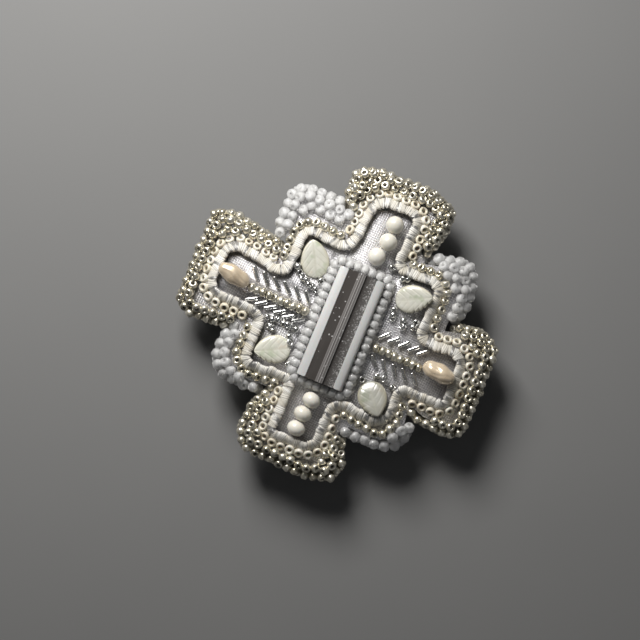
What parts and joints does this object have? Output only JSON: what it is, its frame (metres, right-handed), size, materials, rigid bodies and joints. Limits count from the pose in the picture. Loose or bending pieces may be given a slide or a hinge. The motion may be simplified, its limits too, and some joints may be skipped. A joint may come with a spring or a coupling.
{
  "type": "bead-embroidered cross brooch",
  "caption": "Cross-shaped embroidered brooch: bead-edged arms and lobes on metallic fabric, long glass stone, shell leaves and pearls, with a hinged locking pin on a leather back.",
  "frame": {"origin": "on the surface that the brooch lies on with its pin down, under the middle of its outline", "axes": "+Z out of the face, away from the wearer; +Y along the long glass stone; +X from the pin's hinge to its catch"},
  "size_m": [0.0728, 0.0724, 0.0152],
  "materials": {
    "leather": "smooth matt grey garment leather",
    "board": "plain stiff board",
    "felt": "pressed wool felt",
    "metallic_cloth": "silver-grey cloth woven with metal thread",
    "wound_thread": "cord wound with cream and silver thread",
    "ivory_glass": "opaque glossy ivory glass",
    "champagne_metal": "glass with a bright champagne metal coat",
    "frosted_glass": "frosted clear glass",
    "clear_glass": "clear grey-brown glass with fine bubbles",
    "white_glass": "opaque satin white glass",
    "shell": "carved and polished mother-of-pearl",
    "pearl": "glossy peach-cream pearl",
    "silver_lined": "clear glass with a silver lining",
    "nickel": "nickel-plated steel"
  },
  "bodies": {
    "brooch": {"pin_bar": "nickel", "hinge_rivet": "nickel", "catch_housing": "nickel", "leather_backing": "leather", "stiffener_plate": "board", "felt_padding": "felt", "ground_fabric": "metallic_cloth", "wrapped_cord": "wound_thread", "cream_ring_top": "ivory_glass", "cream_ring_left": "ivory_glass", "cream_ring_bottom": "ivory_glass", "cream_ring_right": "ivory_glass", "metal_ring_upper_right": "champagne_metal", "metal_ring_upper_left": "champagne_metal", "metal_ring_lower_left": "champagne_metal", "metal_ring_lower_right": "champagne_metal", "arm_edging_top": "champagne_metal", "arm_edging_left": "champagne_metal", "arm_edging_bottom": "champagne_metal", "arm_edging_right": "champagne_metal", "lobe_edging_upper_right": "frosted_glass", "lobe_edging_upper_left": "frosted_glass", "lobe_edging_lower_left": "frosted_glass", "lobe_edging_lower_right": "frosted_glass", "stone_glass": "clear_glass", "stone_bar_left": "white_glass", "stone_bar_right": "white_glass", "bezel_lower_row": "frosted_glass", "bezel_upper_row": "frosted_glass", "shell_leaf_upper_left": "shell", "shell_leaf_upper_right": "shell", "shell_leaf_lower_left": "shell", "shell_leaf_lower_right": "shell", "rice_pearl_left": "pearl", "rice_pearl_right": "pearl", "round_bead_top_1": "ivory_glass", "round_bead_top_2": "ivory_glass", "round_bead_top_3": "ivory_glass", "round_bead_bottom_1": "ivory_glass", "round_bead_bottom_2": "ivory_glass", "round_bead_bottom_3": "ivory_glass", "stem_row_left": "champagne_metal", "stem_row_right": "champagne_metal", "bugle_row_left_upper": "silver_lined", "bugle_row_left_lower": "silver_lined", "bugle_row_right_upper": "silver_lined", "bugle_row_right_lower": "silver_lined"},
    "pin": {"pin_stem": "nickel"},
    "lock": {"catch_rotor": "nickel"}
  },
  "joints": [
    {"name": "pin_stem_hinge", "type": "hinge", "parent": "brooch", "child": "pin", "pos_m": [-0.0166, -0.0002, 0.0019], "axis": [0, 1, 0], "range_deg": [0, 75]},
    {"name": "catch_rotor_turn", "type": "hinge", "parent": "brooch", "child": "lock", "pos_m": [0.016, -0.0002, 0.0019], "axis": [1, 0, 0], "range_deg": [0, 90]}
  ]
}
